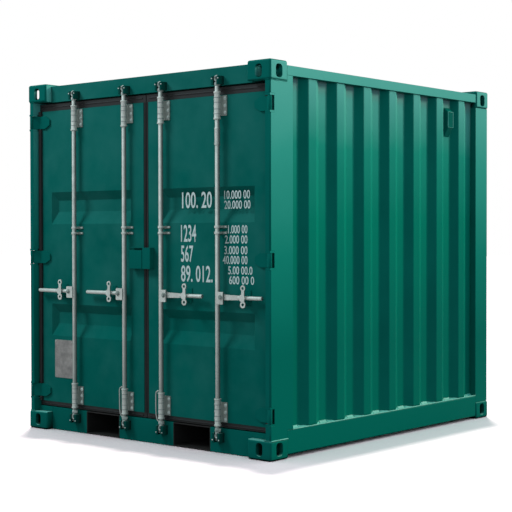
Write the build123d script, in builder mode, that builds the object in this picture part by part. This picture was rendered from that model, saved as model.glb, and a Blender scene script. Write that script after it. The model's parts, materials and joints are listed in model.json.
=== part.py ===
import os

from build123d import *

os.makedirs("parts", exist_ok=True)

# Overall size. The door end faces -Y, the ground is z = 0, all lengths are in millimetres.
width = 2134.0
length = 2438.0
height = 2320.0

# Corner castings
casting_across = 178.0
casting_along = 162.0
casting_tall = 118.0
casting_wall = 26.0
casting_round = 14.0
face_hole_rise = 5.0
end_hole_width = 51.0
side_hole_width = 60.0
face_hole_tall = 79.0
face_hole_round = 22.0
lock_hole_long = 124.0
lock_hole_wide = 63.5

# Plate and sheet thicknesses
post_plate = 6.0
rail_plate = 4.5
tube_wall = 3.5
sheet = 2.0
floor_thick = 28.0
strap_thick = 12.0

# Set-back of the frame pieces from the casting faces
post_inset = 6.0
end_face_depth = 52.0
door_face_depth = 60.0
bar_depth = 26.0

# Door posts
post_lip = 38.0
post_stop = 66.0
post_stop_depth = 118.0
post_stop_thick = 32.0
post_waist = 44.0
post_along = 209.0
post_round = 10.0

# Rails
bottom_rail_low = 20.0
bottom_rail_high = 167.0
bottom_rail_flange = 54.0
bottom_rail_round = 10.0
top_rail_low_drop = 83.0
top_rail_high_drop = 25.0
top_rail_wide = 60.0
header_low_drop = 122.0
header_high_drop = 14.0
header_deep = 110.0
sill_low = 3.0
sill_high = 149.0
sill_deep = 98.0
front_post_inner = 72.0

# Fork pockets
pocket_centre_share = 0.37
pocket_wide = 310.0

# Side and front walls
wall_inset = 12.0
wall_deep = 36.0
first_flat = 89.0
bend_round = 14.0
last_flat = 76.0
side_waves = 7
front_waves = 7
outer_flat_share = 72.0 / 281.0
inner_flat_share = 71.0 / 281.0
web_share = 69.0 / 281.0

# Roof
rib_count = 6
rib_tall = 16.0
rib_wide_share = 0.5
rib_slope = 24.0
roof_edge = 20.0
roof_rib_edge = 130.0

# Floor and cross members
floor_edge = 62.0
floor_end_edge = 74.0
floor_front_depth = 122.0
cross_count = 4
cross_low = 27.0
cross_flange = 45.0

# Doors
door_gap_half = 22.0
door_edge = 77.0
door_low = 186.0
door_top_drop = 178.0
leaf_deep = 50.0
stile_wide = 90.0
inner_stile_wide = 110.0
rail_tall = 115.0
groove_deep = 36.0
groove_tall = 214.0
groove_top_slope = 56.0
groove_low_slope = 82.0
groove_end_slope = 32.0
groove_shares = (0.283, 0.666)
gasket_out = 27.0
gasket_up = 48.0
gasket_down = 31.0
gasket_front_depth = 64.0
gasket_back_depth = 112.0
gasket_lip_half = 3.0
gasket_lip_back = 80.0
bead_wide = 24.0
bead_front_depth = 46.0
bead_gap = 2.0

# Hinges
pin_inset = 16.0
pin_radius = 6.0
pin_play = 0.4
knuckle_radius = 11.0
hinge_shares = (0.037, 0.498, 0.962)
strap_tall = 84.0
strap_tip_tall = 37.0
strap_reach = 160.0
strap_taper = 42.0
lug_gap = 1.5
lug_thick = 12.0
notch_outer = 44.0
notch_inner = 58.0
notch_step = 30.0

# Locking bars
bar_shares = (0.1457, 0.6333)
bar_radius = 14.0
bar_bore = 10.5
bar_low = 135.0
bar_high_drop = 107.0
cam_wide = 30.0
cam_deep = 16.0
low_cam_tall = 56.0
top_cam_tall = 36.0
cam_root = 20.0
keeper_gap_half = 21.0
keeper_thick = 9.0
keeper_back = 5.0
keeper_lip_half = 12.0
keeper_front = 4.0
keeper_lip_thick = 6.0
keeper_round = 4.0
low_keeper_z = 68.0
low_keeper_tall = 58.0
top_keeper_drop = 67.0
top_keeper_tall = 52.0

# Bar guides
guide_radius = 18.5
guide_bore = 14.3
guide_collar = 3.0
collar_tall = 10.0
guide_web_half = 8.0
guide_plate_wide = 100.0
guide_plate_thick = 8.0
end_guide_tall = 166.0
end_plate_tall = 120.0
guide_strap_tall = 14.0
guide_strap_step = 36.0
top_guide_drop = 64.0
low_guide_rise = 62.0
middle_guide_share = 0.589

# Handles and their retainers
handle_share = 0.384
handle_reach = 350.0
handle_pivot = 40.0
pivot_radius = 7.0
pivot_play = 0.4
hub_long = 58.0
hub_rise = 32.0
hub_drop = 42.0
hub_front = 6.0
hub_round = 4.0
fork_front = 17.0
fork_back = 33.0
fork_start = 19.0
cheek_back = 40.0
cheek_long = 52.0
cheek_half = 18.0
eye_radius = 17.0
handle_thick = 13.0
handle_depth = 25.0
arm_half = 17.0
arm_end_half = 13.0
arm_end_gap = 46.0
grip_radius = 12.0
grip_round = 6.0
grip_lap = 5.0
catch_reach_right = 218.0
catch_reach_left = 120.0
catch_front = 2.0
catch_thick = 6.0
catch_eye_rise = 58.0
catch_eye_radius = 18.0
catch_middle_radius = 22.0
catch_middle_shift = 7.0
catch_web = 22.0
catch_tongue_drop = 38.0
catch_tongue_radius = 20.0
catch_hole_radius = 9.0
retainer_wide = 36.0
retainer_tall = 90.0
retainer_thick = 6.0
ledge_wide = 28.0
ledge_tall = 20.0
ledge_front = 16.0
ledge_drop = 17.0

# Lock box
box_share = 0.499
box_half_gap = 2.5
box_reach_left = 113.0
box_reach_right = 70.0
box_tall = 133.0
box_step = 16.0
box_front = 21.0
box_plate = 3.0

# Vents
vent_wide = 62.0
vent_top_drop = 140.0
vent_roof_fall = 32.0
vent_face_tall = 105.0
vent_throat_fall = 65.0
right_vent_waves = 6
left_vent_waves = 1

cut_over = 10.0
weld_gap = 0.6

# Levels and lines found from the sizes above
half_width = width / 2
half_length = length / 2
casting_top_low = height - casting_tall
top_rail_low = height - top_rail_low_drop
top_rail_high = height - top_rail_high_drop
header_low = height - header_low_drop
header_high = height - header_high_drop
rail_half = half_width - casting_across
wall_start = post_inset + post_along
wall_end = length - casting_along
pocket_middle = pocket_centre_share * half_width
pocket_near = pocket_middle - pocket_wide / 2
pocket_far = pocket_middle + pocket_wide / 2
front_face = length - post_inset
door_high = height - door_top_drop
door_tall = door_high - door_low
leaf_outer = half_width - door_edge
leaf_wide = leaf_outer - door_gap_half
door_back_depth = door_face_depth + leaf_deep
bar_high = height - bar_high_drop
top_keeper_z = height - top_keeper_drop - top_keeper_tall
handle_z = door_low + handle_share * door_tall
hinge_levels = [door_low + share * door_tall for share in hinge_shares]
bar_lines = [door_gap_half + share * leaf_wide for share in bar_shares]
notch_half = strap_tall / 2 + lug_gap + lug_thick
strap_front = door_face_depth - strap_thick
sides = {"left": -1, "right": 1}
catch_reach = {"left": catch_reach_left, "right": catch_reach_right}
box_reach = {"left": box_reach_left, "right": box_reach_right}
box_drop = {"left": box_step, "right": 0}


def across(side, inset):
    """The x of a line the given distance in from one side's casting face."""
    return side * (half_width - inset)


def behind(depth):
    """The y of a line the given distance behind the door-end casting faces."""
    return depth - half_length


def block(x_range, y_range, z_range, mode=Mode.ADD):
    """A box between two corners, in either order."""
    spans = [sorted(x_range), sorted(y_range), sorted(z_range)]
    middle = [(low + high) / 2 for low, high in spans]
    with Locations(tuple(middle)):
        Box(*[high - low for low, high in spans], mode=mode)


def prism(plane, points, amount, mode=Mode.ADD):
    """A straight-sided outline drawn on a plane and pushed along its normal."""
    with BuildSketch(plane) as outline:
        with BuildLine():
            Polyline(*points, close=True)
        make_face()
    extrude(outline.sketch, amount=amount, mode=mode)


def upright(points, low, high, mode=Mode.ADD):
    """A plan outline in x and y, raised from one level to another."""
    prism(Plane.XY.offset(low), points, high - low, mode)


def lengthwise(points, start, stop, mode=Mode.ADD):
    """An outline in x and z, run along y between two depths behind the door end."""
    plane = Plane(origin=(0, behind(stop), 0), x_dir=(1, 0, 0), z_dir=(0, -1, 0))
    prism(plane, points, stop - start, mode)


def crosswise(points, start, stop, mode=Mode.ADD):
    """An outline in y and z, run along x."""
    plane = Plane(origin=(start, 0, 0), x_dir=(0, 1, 0), z_dir=(1, 0, 0))
    prism(plane, points, stop - start, mode)


def rod(centre, radius, axis, span, mode=Mode.ADD):
    """A round bar about an axis, between two positions along that axis."""
    low, high = sorted(span)
    middle = (low + high) / 2
    turns = {"x": (0, 90, 0), "y": (90, 0, 0), "z": (0, 0, 0)}
    places = {
        "x": (middle, centre[0], centre[1]),
        "y": (centre[0], middle, centre[1]),
        "z": (centre[0], centre[1], middle),
    }
    with Locations(Location(places[axis], turns[axis])):
        Cylinder(radius, high - low, mode=mode)


def frustum(near_box, far_box, near_depth, far_depth, mode=Mode.ADD):
    """A tapering block between two upright rectangles at two depths."""
    faces = []
    for box, depth in ((near_box, near_depth), (far_box, far_depth)):
        x_low, x_high, z_low, z_high = box
        plane = Plane(origin=(0, behind(depth), 0), x_dir=(1, 0, 0), z_dir=(0, -1, 0))
        with BuildSketch(plane) as outline:
            with BuildLine():
                Polyline((x_low, z_low), (x_high, z_low), (x_high, z_high), (x_low, z_high), close=True)
            make_face()
        faces.append(outline.sketch.faces()[0])
    loft(faces, ruled=True, mode=mode)


def thickened(points, thickness):
    """A zigzag line and its copy set off to its left, joined into one closed outline."""
    offset_points = []
    for index, (u, v) in enumerate(points):
        normals = []
        for first, second in ((index - 1, index), (index, index + 1)):
            if first < 0 or second >= len(points):
                continue
            du = points[second][0] - points[first][0]
            dv = points[second][1] - points[first][1]
            run = (du * du + dv * dv) ** 0.5
            normals.append((-dv / run, du / run))
        nu = sum(normal[0] for normal in normals) / len(normals)
        nv = sum(normal[1] for normal in normals) / len(normals)
        stretch = thickness / (nu * nu + nv * nv)
        offset_points.append((u + nu * stretch, v + nv * stretch))
    return list(points) + offset_points[::-1]


def wave_line(start, stop, lead, tail, waves, outer, inner):
    """The plan line of a corrugated wall, starting and ending on an inner flat."""
    pitch = (stop - start - lead - tail) / (waves - inner_flat_share)
    points = [(start, inner)]
    place = start + lead
    for wave in range(waves):
        points.append((place, inner))
        points.append((place + web_share * pitch, outer))
        points.append((place + (web_share + outer_flat_share) * pitch, outer))
        points.append((place + (2 * web_share + outer_flat_share) * pitch, inner))
        place += pitch
    points.append((stop, inner))
    return points


def wave_valley(waves):
    """The depth of the middle of the inner flat that follows the first few waves of a side wall."""
    span = wall_end - wall_start - first_flat - last_flat
    pitch = span / (side_waves - inner_flat_share)
    return wall_start + first_flat + (waves - inner_flat_share / 2) * pitch


def round_bends(axis, start, stop):
    """Round the upright bends of a folded sheet, all but its ends along the given axis."""
    bends = edges().filter_by(Axis.Z).filter_by_position(axis, start + sheet, stop - sheet)
    fillet(bends, bend_round)


def save(piece, name):
    """Name a finished piece and write it out."""
    piece.part.label = name
    export_step(piece.part, f"parts/{name}.step")


# One corner casting, bottom right at the door end
casting_x = (half_width - casting_across, half_width)
casting_y = (behind(0), behind(casting_along))
casting_mid_x = half_width - casting_across / 2
casting_mid_y = behind(casting_along / 2)
with BuildPart() as casting:
    block(casting_x, casting_y, (0, casting_tall))
    hidden_corner = Vector(casting_x[0], casting_y[1], casting_tall)
    shown_edges = [
        edge
        for edge in casting.edges()
        if min((edge.position_at(end) - hidden_corner).length for end in (0, 1)) > casting_round
    ]
    fillet(shown_edges, casting_round)
    block(
        (casting_x[0] + casting_wall, casting_x[1] - casting_wall),
        (casting_y[0] + casting_wall, casting_y[1] - casting_wall),
        (casting_wall, casting_tall - casting_wall),
        Mode.SUBTRACT,
    )
    end_plane = Plane(
        origin=(casting_mid_x, casting_mid_y, casting_tall / 2 + face_hole_rise),
        x_dir=(1, 0, 0),
        z_dir=(0, -1, 0),
    )
    with BuildSketch(end_plane) as end_hole:
        RectangleRounded(end_hole_width, face_hole_tall, face_hole_round)
    extrude(end_hole.sketch, amount=casting_along, mode=Mode.SUBTRACT)
    side_plane = Plane(
        origin=(casting_mid_x, casting_mid_y, casting_tall / 2 + face_hole_rise),
        x_dir=(0, 1, 0),
        z_dir=(1, 0, 0),
    )
    with BuildSketch(side_plane) as side_hole:
        RectangleRounded(side_hole_width, face_hole_tall, face_hole_round)
    extrude(side_hole.sketch, amount=casting_across, mode=Mode.SUBTRACT)
    low_plane = Plane(
        origin=(casting_mid_x, casting_mid_y, casting_tall / 2), x_dir=(1, 0, 0), z_dir=(0, 0, -1)
    )
    with BuildSketch(low_plane) as lock_hole:
        SlotOverall(lock_hole_long, lock_hole_wide)
    extrude(lock_hole.sketch, amount=casting_tall, mode=Mode.SUBTRACT)

with BuildPart() as bottom_castings:
    add(casting.part)
    mirror(about=Plane.YZ)
    mirror(about=Plane.XZ)
save(bottom_castings, "bottom_castings")

with BuildPart() as top_castings:
    add(bottom_castings.part.mirror(Plane.XY.offset(height / 2)))
save(top_castings, "top_castings")


def door_post(side):
    """One door post: a folded hollow section with a front lip, a door stop and hinge notches."""
    lip = post_inset + post_lip
    stop = post_inset + post_stop
    waist = post_inset + post_waist
    stop_end = post_stop_depth + post_stop_thick
    outer = [
        (post_inset, post_inset), (lip, post_inset), (lip, post_stop_depth), (stop, post_stop_depth),
        (stop, stop_end), (waist, stop_end), (waist, wall_start), (post_inset, wall_start),
    ]
    inset = post_inset + post_plate
    hollow = [
        (inset, inset), (lip - post_plate, inset), (lip - post_plate, post_stop_depth + post_plate),
        (stop - post_plate, post_stop_depth + post_plate), (stop - post_plate, stop_end - post_plate),
        (waist - post_plate, stop_end - post_plate), (waist - post_plate, wall_start - post_plate),
        (inset, wall_start - post_plate),
    ]
    plan = [(across(side, t), behind(s)) for t, s in outer]
    plan_hollow = [(across(side, t), behind(s)) for t, s in hollow]
    upright(plan, casting_tall, casting_top_low)
    corner = (across(side, post_inset), behind(post_inset), height / 2)
    fillet(edges().filter_by(Axis.Z).sort_by_distance(corner)[0], post_round)
    upright(plan_hollow, casting_tall - cut_over, casting_top_low + cut_over, Mode.SUBTRACT)
    overhang_x = (across(side, post_inset), across(side, waist))
    overhang_y = (behind(casting_along), behind(wall_start))
    block(overhang_x, overhang_y, (casting_top_low, top_rail_low))
    block(
        (across(side, 0), across(side, stop)),
        (behind(casting_along), behind(wall_start + cut_over)),
        (casting_tall, bottom_rail_high),
        Mode.SUBTRACT,
    )
    for level in hinge_levels:
        span = (level - notch_half, level + notch_half)
        block(
            (across(side, 0), across(side, notch_step)),
            (behind(0), behind(notch_outer)),
            span,
            Mode.SUBTRACT,
        )
        block(
            (across(side, notch_step), across(side, lip + cut_over)),
            (behind(0), behind(notch_inner)),
            span,
            Mode.SUBTRACT,
        )


with BuildPart() as door_post_left:
    door_post(sides["left"])
save(door_post_left, "door_post_left")

with BuildPart() as door_post_right:
    door_post(sides["right"])
save(door_post_right, "door_post_right")

# Front posts at the closed end
with BuildPart() as front_posts:
    for side in sides.values():
        block(
            (across(side, post_inset), across(side, front_post_inner)),
            (behind(wall_end), behind(front_face)),
            (casting_tall, casting_top_low),
        )
        block(
            (across(side, post_inset + post_plate), across(side, front_post_inner - post_plate)),
            (behind(wall_end + post_plate), behind(front_face - post_plate)),
            (casting_tall - cut_over, casting_top_low + cut_over),
            Mode.SUBTRACT,
        )
save(front_posts, "front_posts")

# Side rails
with BuildPart() as bottom_side_rails:
    for side in sides.values():
        flange = post_inset + bottom_rail_flange
        web = post_inset + rail_plate
        section = [
            (post_inset, bottom_rail_low), (flange, bottom_rail_low),
            (flange, bottom_rail_low + rail_plate), (web, bottom_rail_low + rail_plate),
            (web, bottom_rail_high - rail_plate), (flange, bottom_rail_high - rail_plate),
            (flange, bottom_rail_high), (post_inset, bottom_rail_high),
        ]
        lengthwise([(across(side, t), z) for t, z in section], casting_along, wall_end)
    outer_bends = [
        edge
        for edge in bottom_side_rails.edges().filter_by(Axis.Y)
        if abs(edge.center().X) > half_width - post_inset - rail_plate / 2
    ]
    fillet(outer_bends, bottom_rail_round)
save(bottom_side_rails, "bottom_side_rails")

with BuildPart() as top_side_rails:
    for side in sides.values():
        rail_y = (behind(casting_along), behind(wall_end))
        block(
            (across(side, post_inset), across(side, post_inset + top_rail_wide)),
            rail_y,
            (top_rail_low, top_rail_high),
        )
        block(
            (across(side, post_inset + tube_wall), across(side, post_inset + top_rail_wide - tube_wall)),
            (rail_y[0] - cut_over, rail_y[1] + cut_over),
            (top_rail_low + tube_wall, top_rail_high - tube_wall),
            Mode.SUBTRACT,
        )
save(top_side_rails, "top_side_rails")


def end_tube(x_range, start, stop, low, high, wall):
    """A hollow box section running across the container."""
    block(x_range, (behind(start), behind(stop)), (low, high))
    block(
        (min(x_range) - cut_over, max(x_range) + cut_over),
        (behind(start + wall), behind(stop - wall)),
        (low + wall, high - wall),
        Mode.SUBTRACT,
    )


sill_spans = [(-rail_half, -pocket_far), (-pocket_near, pocket_near), (pocket_far, rail_half)]

header_back = end_face_depth + header_deep
with BuildPart() as door_header:
    end_tube((-rail_half, rail_half), end_face_depth, header_back, header_low, header_high, rail_plate)
save(door_header, "door_header")

with BuildPart() as door_sill:
    for span in sill_spans:
        end_tube(span, end_face_depth, end_face_depth + sill_deep, sill_low, sill_high, rail_plate)
    for side in sides.values():
        block(
            (side * (rail_half + weld_gap), across(side, post_inset + post_lip)),
            (behind(end_face_depth), behind(post_stop_depth)),
            (casting_tall, sill_high),
        )
save(door_sill, "door_sill")

# The front top rail carries a flat plate back to the roof
with BuildPart() as front_top_rail:
    rail_back = front_face - top_rail_wide
    plate_top = top_rail_high + sheet
    end_tube((-rail_half, rail_half), rail_back, front_face, casting_top_low, plate_top, tube_wall)
    plate_y = (behind(wall_end), behind(rail_back))
    block((-rail_half, rail_half), plate_y, (plate_top - tube_wall, plate_top))
save(front_top_rail, "front_top_rail")

with BuildPart() as front_bottom_rail:
    for span in sill_spans:
        end_tube(span, front_face - sill_deep, front_face, sill_low, sill_high, rail_plate)
    for side in sides.values():
        block(
            (side * rail_half, across(side, front_post_inner)),
            (behind(length - wall_inset - wall_deep - sheet), behind(front_face)),
            (casting_tall, sill_high),
        )
save(front_bottom_rail, "front_bottom_rail")

# Fork pockets: two open tunnels from end to end
with BuildPart() as fork_tunnels:
    for side in sides.values():
        tunnel_y = (behind(end_face_depth), behind(front_face))
        block((side * pocket_near, side * pocket_far), tunnel_y, (sill_low, sill_high))
        block(
            (side * (pocket_near + post_plate), side * (pocket_far - post_plate)),
            (tunnel_y[0] - cut_over, tunnel_y[1] + cut_over),
            (sill_low + post_plate, sill_high - post_plate),
            Mode.SUBTRACT,
        )
save(fork_tunnels, "fork_tunnels")

# Cross members under the floor
with BuildPart() as cross_members:
    cross_start = end_face_depth + sill_deep
    cross_step = (front_face - sill_deep - cross_start) / (cross_count + 1)
    rail_web = half_width - post_inset - rail_plate
    cross_spans = [(-rail_web, -pocket_far), (-pocket_near, pocket_near), (pocket_far, rail_web)]
    for number in range(cross_count):
        place = behind(cross_start + (number + 1) * cross_step)
        channel = [
            (place, cross_low), (place + cross_flange, cross_low),
            (place + cross_flange, cross_low + rail_plate), (place + rail_plate, cross_low + rail_plate),
            (place + rail_plate, sill_high - rail_plate), (place + cross_flange, sill_high - rail_plate),
            (place + cross_flange, sill_high), (place, sill_high),
        ]
        for start, stop in cross_spans:
            crosswise(channel, start, stop)
save(cross_members, "cross_members")

# Plywood floor
wall_inner = wall_inset + wall_deep + sheet
floor_end = length - wall_inner - sheet
with BuildPart() as floor_boards:
    floor_z = (sill_high, sill_high + floor_thick)
    narrow = half_width - floor_end_edge
    wide = half_width - floor_edge
    block((-narrow, narrow), (behind(floor_front_depth), behind(floor_end)), floor_z)
    block((-wide, wide), (behind(wall_start + sheet), behind(wall_end - sheet)), floor_z)
save(floor_boards, "floor_boards")


def side_wall(side):
    """One corrugated side wall between its posts and rails."""
    inner = wall_inset + wall_deep
    line = wave_line(wall_start, wall_end, first_flat, last_flat, side_waves, wall_inset, inner)
    outline = thickened(line, sheet)
    upright([(across(side, t), behind(s)) for s, t in outline], bottom_rail_high, top_rail_low)
    round_bends(Axis.Y, behind(wall_start), behind(wall_end))


with BuildPart() as side_wall_left:
    side_wall(sides["left"])
save(side_wall_left, "side_wall_left")

with BuildPart() as side_wall_right:
    side_wall(sides["right"])
save(side_wall_right, "side_wall_right")

# Corrugated front wall at the closed end
with BuildPart() as front_wall:
    reach = half_width - front_post_inner
    line = wave_line(-reach, reach, last_flat, last_flat, front_waves, wall_inset, wall_inset + wall_deep)
    outline = thickened(line, sheet)
    upright([(x, half_length - depth) for x, depth in outline], sill_high, casting_top_low)
    round_bends(Axis.X, -reach, reach)
save(front_wall, "front_wall")

# Roof sheet with raised ribs, hollow underneath
with BuildPart() as roof:
    roof_z = (top_rail_high, top_rail_high + sheet)
    roof_half = half_width - roof_edge
    block((-roof_half, roof_half), (behind(header_back), behind(wall_end)), roof_z)
    rib_pitch = (wall_end - casting_along) / rib_count
    rib_half = half_width - roof_rib_edge
    for number in range(rib_count):
        middle = behind(casting_along + (number + 1 / 2) * rib_pitch)
        rib_wide = rib_wide_share * rib_pitch
        for inset, level, cut in ((0, roof_z[1], Mode.ADD), (sheet, roof_z[0], Mode.SUBTRACT)):
            faces = []
            for slope, rise in ((0, 0), (rib_slope, rib_tall)):
                half_x = rib_half - slope - inset
                half_y = rib_wide / 2 - slope - inset
                with BuildSketch(Plane.XY.offset(level + rise)) as outline:
                    with Locations((0, middle)):
                        Rectangle(2 * half_x, 2 * half_y)
                faces.append(outline.sketch.faces()[0])
            loft(faces, ruled=True, mode=cut)
save(roof, "roof")

# Hooded vents, one in a wall valley on each side
with BuildPart() as vents:
    vent_high = height - vent_top_drop
    face_high = vent_high - vent_roof_fall
    face_low = face_high - vent_face_tall
    valley = wall_inset + wall_deep
    hood = [
        (valley, vent_high), (wall_inset, face_high),
        (wall_inset, face_low), (valley, face_low - vent_throat_fall),
    ]
    for side, waves in ((sides["right"], right_vent_waves), (sides["left"], left_vent_waves)):
        place = wave_valley(waves)
        profile = [(across(side, t), z) for t, z in hood]
        lengthwise(profile, place - vent_wide / 2, place + vent_wide / 2)
save(vents, "vents")

# Hinge lugs with their pins, on the door posts
with BuildPart() as hinge_lugs:
    for side in sides.values():
        pin_centre = (across(side, pin_inset), behind(pin_inset))
        lug_x = (across(side, post_inset), across(side, notch_outer))
        lug_y = (behind(post_inset), behind(notch_outer))
        for level in hinge_levels:
            inner = strap_tall / 2 + lug_gap
            block(lug_x, lug_y, (level - notch_half, level - inner))
            block(lug_x, lug_y, (level + inner, level + notch_half))
            rod(pin_centre, pin_radius, "z", (level - notch_half, level + notch_half))
save(hinge_lugs, "hinge_lugs")

# Keepers for the bar cams, on the header and the sill: open yokes with a lip on each horn
with BuildPart() as keepers:
    keeper_half = keeper_gap_half + keeper_thick
    lip_back = keeper_front + keeper_lip_thick
    yoke_floor = end_face_depth - keeper_back
    horn = [
        (keeper_half, end_face_depth), (keeper_half, keeper_front), (keeper_lip_half, keeper_front),
        (keeper_lip_half, lip_back), (keeper_gap_half, lip_back), (keeper_gap_half, yoke_floor),
    ]
    yoke = horn + [(-x, s) for x, s in reversed(horn)]
    spans = ((low_keeper_z, low_keeper_z + low_keeper_tall), (top_keeper_z, top_keeper_z + top_keeper_tall))
    for line in bar_lines + [-line for line in bar_lines]:
        for low, high in spans:
            upright([(line + x, behind(s)) for x, s in yoke], low, high)
    front_corners = [
        edge
        for edge in keepers.edges().filter_by(Axis.Z)
        if edge.center().Y < behind(keeper_front + keeper_lip_thick / 2)
        and min(abs(abs(edge.center().X) - line) for line in bar_lines) > keeper_gap_half
    ]
    fillet(front_corners, keeper_round)
save(keepers, "keepers")


def door_stiles(side):
    """The two upright tubes of one door's frame."""
    spans = ((door_gap_half, door_gap_half + inner_stile_wide), (leaf_outer - stile_wide, leaf_outer))
    for near, far in spans:
        leaf_y = (behind(door_face_depth), behind(door_back_depth))
        block((side * near, side * far), leaf_y, (door_low, door_high))
        block(
            (side * (near + tube_wall), side * (far - tube_wall)),
            (behind(door_face_depth + tube_wall), behind(door_back_depth - tube_wall)),
            (door_low - cut_over, door_high + cut_over),
            Mode.SUBTRACT,
        )


def door_rails(side):
    """The top and bottom tubes of one door's frame."""
    near = door_gap_half + inner_stile_wide
    far = leaf_outer - stile_wide
    for low, high in ((door_low, door_low + rail_tall), (door_high - rail_tall, door_high)):
        block((side * near, side * far), (behind(door_face_depth), behind(door_back_depth)), (low, high))
        block(
            (side * (near - cut_over), side * (far + cut_over)),
            (behind(door_face_depth + tube_wall), behind(door_back_depth - tube_wall)),
            (low + tube_wall, high - tube_wall),
            Mode.SUBTRACT,
        )


def door_panel(side):
    """The pressed steel panel of one door, with two grooves across it."""
    near = side * (door_gap_half + inner_stile_wide)
    far = side * (leaf_outer - stile_wide)
    x_low, x_high = sorted((near, far))
    front = door_face_depth
    panel_z = (door_low + rail_tall, door_high - rail_tall)
    block((x_low, x_high), (behind(front), behind(front + sheet)), panel_z)
    for share in groove_shares:
        middle = door_low + share * door_tall
        low = middle - groove_tall / 2
        high = middle + groove_tall / 2
        for grow, push, cut in ((sheet, sheet, Mode.ADD), (0, 0, Mode.SUBTRACT)):
            mouth = (x_low + sheet - grow, x_high - sheet + grow, low - grow, high + grow)
            bed = (
                x_low + sheet + groove_end_slope - grow,
                x_high - sheet - groove_end_slope + grow,
                low + groove_low_slope - grow,
                high - groove_top_slope + grow,
            )
            frustum(mouth, bed, front, front + groove_deep + push, cut)


def door_gasket(side):
    """The rubber seal round one door, with a lip at the meeting edge and a proud bead at the hinges."""
    outer = leaf_outer + gasket_out
    seal_z = (door_low - gasket_down, door_high + gasket_up)
    seal_y = (behind(gasket_front_depth), behind(gasket_back_depth))
    block((side * gasket_lip_half, side * outer), seal_y, seal_z)
    block(
        (side * door_gap_half, side * leaf_outer),
        (seal_y[0] - cut_over, seal_y[1] + cut_over),
        (door_low, door_high),
        Mode.SUBTRACT,
    )
    block(
        (0, side * door_gap_half),
        (behind(gasket_lip_back), seal_y[1] + cut_over),
        (seal_z[0] - cut_over, seal_z[1] + cut_over),
        Mode.SUBTRACT,
    )
    bead_x = (side * leaf_outer, side * (leaf_outer + bead_wide))
    block(bead_x, (behind(bead_front_depth), seal_y[0]), (door_low, door_high))
    for level in hinge_levels:
        half_slot = strap_tall / 2 + bead_gap
        block(
            (side * (leaf_outer - cut_over), side * (leaf_outer + bead_wide + cut_over)),
            (behind(bead_front_depth - cut_over), seal_y[0]),
            (level - half_slot, level + half_slot),
            Mode.SUBTRACT,
        )


def hinge_straps(side):
    """The three cranked hinge straps of one door."""
    pin = (pin_inset, pin_inset)
    foot = (notch_inner + strap_thick / 2, strap_front + strap_thick / 2)
    run = (foot[0] - pin[0], foot[1] - pin[1])
    reach = (run[0] ** 2 + run[1] ** 2) ** 0.5
    off = (-run[1] / reach * strap_thick / 2, run[0] / reach * strap_thick / 2)
    crank = [
        (pin[0] + off[0], pin[1] + off[1]), (pin[0] - off[0], pin[1] - off[1]),
        (foot[0] - off[0], foot[1] - off[1]), (foot[0] + off[0], foot[1] + off[1]),
    ]
    plan = [(across(side, t), behind(s)) for t, s in crank]
    pin_centre = (across(side, pin_inset), behind(pin_inset))
    for level in hinge_levels:
        span = (level - strap_tall / 2, level + strap_tall / 2)
        upright(plan, span[0], span[1])
        rod(pin_centre, knuckle_radius, "z", span)
        taper_start = strap_reach - strap_taper
        blade = [
            (notch_inner + strap_thick / 2, -strap_tall / 2), (taper_start, -strap_tall / 2),
            (strap_reach, -strap_tip_tall / 2), (strap_reach, strap_tip_tall / 2),
            (taper_start, strap_tall / 2), (notch_inner + strap_thick / 2, strap_tall / 2),
        ]
        lengthwise([(across(side, t), level + z) for t, z in blade], strap_front, door_face_depth)
        rod(
            pin_centre, pin_radius + pin_play, "z", (span[0] - cut_over, span[1] + cut_over), Mode.SUBTRACT
        )


def guide(centre, low, high, plate_tall):
    """One sleeve round a bar, on a web and a base plate."""
    middle = (low + high) / 2
    plate_z = (middle - plate_tall / 2, middle + plate_tall / 2)
    plate_front = door_face_depth - guide_plate_thick
    block(
        (centre[0] - guide_plate_wide / 2, centre[0] + guide_plate_wide / 2),
        (behind(plate_front), behind(door_face_depth)),
        plate_z,
    )
    web_x = (centre[0] - guide_web_half, centre[0] + guide_web_half)
    block(web_x, (behind(bar_depth), behind(plate_front)), plate_z)
    rod(centre, guide_radius, "z", (low, high))


def bar_guides(side):
    """The long end guides and the paired middle straps that hold one door's two bars."""
    top = door_high - top_guide_drop
    low = door_low + low_guide_rise
    middle = door_low + middle_guide_share * door_tall
    for line in bar_lines:
        centre = (side * line, behind(bar_depth))
        for level in (top, low):
            ends = (level - end_guide_tall / 2, level + end_guide_tall / 2)
            guide(centre, ends[0], ends[1], end_plate_tall)
            rod(centre, guide_radius + guide_collar, "z", (ends[0], ends[0] + collar_tall))
            rod(centre, guide_radius + guide_collar, "z", (ends[1] - collar_tall, ends[1]))
        for level in (middle - guide_strap_step / 2, middle + guide_strap_step / 2):
            half = guide_strap_tall / 2
            guide(centre, level - half, level + half, guide_strap_tall)
        rod(centre, guide_bore, "z", (door_low - rail_tall, door_high + rail_tall), Mode.SUBTRACT)


def handle_retainers(side, reach):
    """The base plates with ledges that hold one door's handles."""
    for line in bar_lines:
        middle = side * (line + reach)
        low = handle_z - retainer_tall / 2
        block(
            (middle - retainer_wide / 2, middle + retainer_wide / 2),
            (behind(door_face_depth - retainer_thick), behind(door_face_depth)),
            (low, low + retainer_tall),
        )
        block(
            (middle - ledge_wide / 2, middle + ledge_wide / 2),
            (behind(ledge_front), behind(door_face_depth - retainer_thick)),
            (handle_z - ledge_drop - ledge_tall, handle_z - ledge_drop),
        )


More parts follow.
